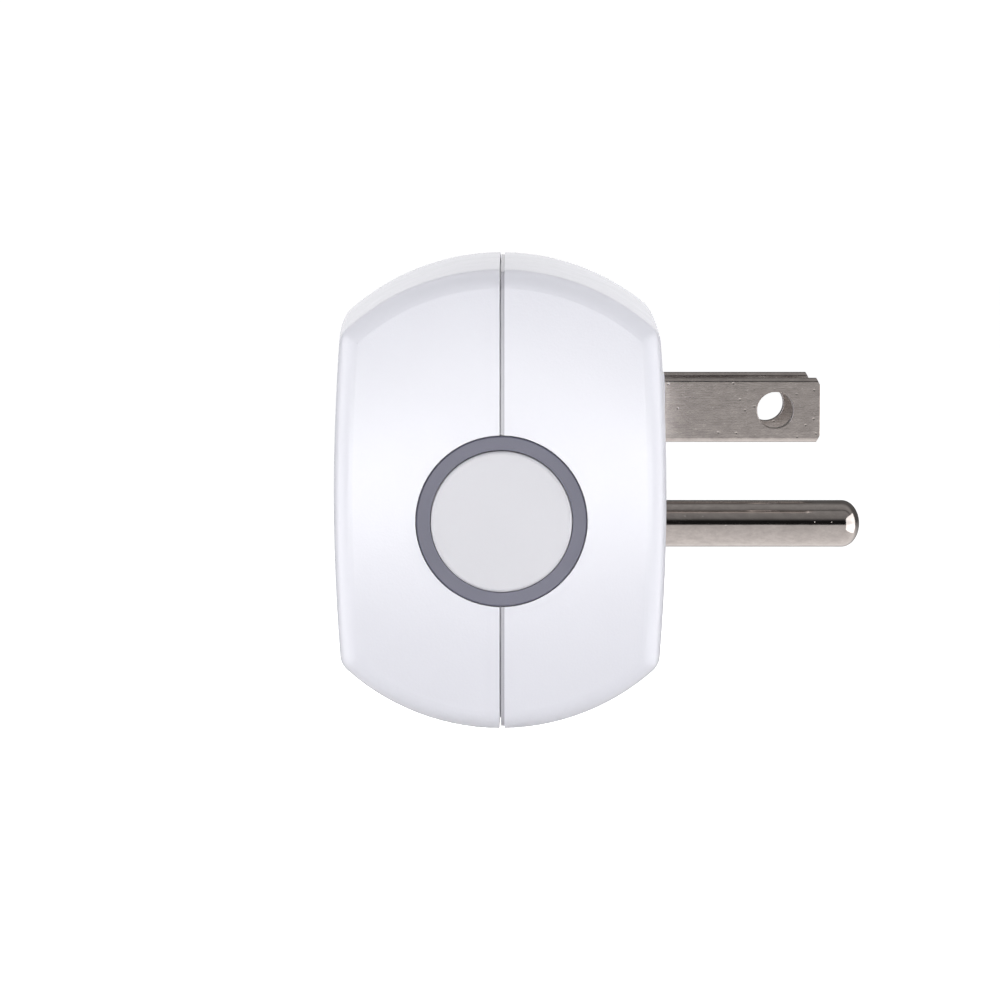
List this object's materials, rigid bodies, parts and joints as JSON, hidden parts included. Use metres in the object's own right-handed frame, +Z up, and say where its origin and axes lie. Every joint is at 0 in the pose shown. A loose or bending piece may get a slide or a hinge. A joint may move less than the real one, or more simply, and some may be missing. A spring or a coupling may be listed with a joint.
{
  "type": "plug-in power meter",
  "caption": "Plug-in energy meter with a switched outlet: crowned barrel case, domed sides, round side button with a light ring, flat blades and a round ground pin.",
  "frame": {"origin": "centre of the flat land on the back that rests on the wall outlet", "axes": "+X into the wall along the prongs, +Z up, -Y towards the side with the button"},
  "size_m": [0.0524, 0.0548, 0.046],
  "materials": {
    "white_case": "fine satin moulded",
    "white_button": "fine satin moulded",
    "ring_guide": "smoked translucent",
    "nickel_prong": "nickel plated, lightly brushed",
    "zinc_screw": "zinc plated",
    "carrier_plastic": "moulded",
    "contact_brass": "stamped",
    "circuit_board": "solder mask",
    "black_plastic": "moulded",
    "grey_ribbon": "flat cable",
    "relay_shell": "moulded",
    "relay_iron": "plated iron",
    "bobbin_plastic": "moulded",
    "coil_copper": "enamelled wire",
    "tinned_steel": "tinned",
    "spring_copper": "rolled",
    "shunt_metal": "rolled",
    "film_cap_case": "moulded",
    "can_sleeve": "shrunk sleeve",
    "varistor_coat": "dipped",
    "resistor_coat": "lacquered",
    "fuse_case": "moulded",
    "chip_mould": "moulded",
    "ferrite": "ground",
    "chip_ceramic": "ceramic",
    "plunger_plastic": "moulded",
    "led_body": "moulded"
  },
  "bodies": {
    "meter": {"front_housing": "white_case", "rear_housing": "white_case", "light_ring": "ring_guide", "line_blade": "nickel_prong", "neutral_blade": "nickel_prong", "ground_pin": "nickel_prong", "housing_screws": "zinc_screw", "prong_holder": "carrier_plastic", "contact_carrier": "carrier_plastic", "contact_retainer": "carrier_plastic", "line_contact": "contact_brass", "neutral_contact": "contact_brass", "ground_contact": "contact_brass", "line_input_strap": "contact_brass", "line_output_strap": "contact_brass", "neutral_strap": "contact_brass", "ground_strap": "contact_brass", "power_board": "circuit_board", "control_board": "circuit_board", "radio_board": "circuit_board", "ribbon_headers": "black_plastic", "switch_base": "black_plastic", "relay_base": "black_plastic", "board_ribbon": "grey_ribbon", "relay_cover": "relay_shell", "relay_yoke": "relay_iron", "relay_core": "relay_iron", "relay_bobbin": "bobbin_plastic", "relay_coil": "coil_copper", "relay_coil_pins": "tinned_steel", "radio_shield": "tinned_steel", "switch_frame": "tinned_steel", "relay_fixed_contact": "spring_copper", "current_shunt": "shunt_metal", "film_capacitor": "film_cap_case", "electrolytic_capacitors": "can_sleeve", "varistor": "varistor_coat", "fusible_resistor": "resistor_coat", "thermal_fuse": "fuse_case", "bridge_rectifier": "chip_mould", "metering_chip": "chip_mould", "supply_chip": "chip_mould", "power_inductor": "ferrite", "board_chips": "chip_ceramic", "leds": "led_body"},
    "button": {"button_cap": "white_button"},
    "switch_key": {"switch_plunger": "plunger_plastic"},
    "armature": {"relay_armature": "relay_iron", "relay_contact_spring": "spring_copper"}
  },
  "joints": [
    {"name": "button_press", "type": "slide", "parent": "meter", "child": "button", "axis": [0, 1, 0], "range_m": [0, 0.0004], "stiffness_N_per_m": 4000, "springref_m": -0.0003},
    {"name": "switch_travel", "type": "slide", "parent": "meter", "child": "switch_key", "axis": [0, 1, 0], "range_m": [0, 0.0004]},
    {"name": "relay_armature_tilt", "type": "hinge", "parent": "meter", "child": "armature", "pos_m": [-0.0077, 0.0087, -0.0131], "axis": [0, 0, 1], "range_deg": [-3.5, 0], "stiffness_Nm_per_rad": 0.05, "springref_deg": 11.46}
  ],
  "couplings": [
    {"joint": "switch_travel", "follows": "button_press", "ratio": 1}
  ]
}
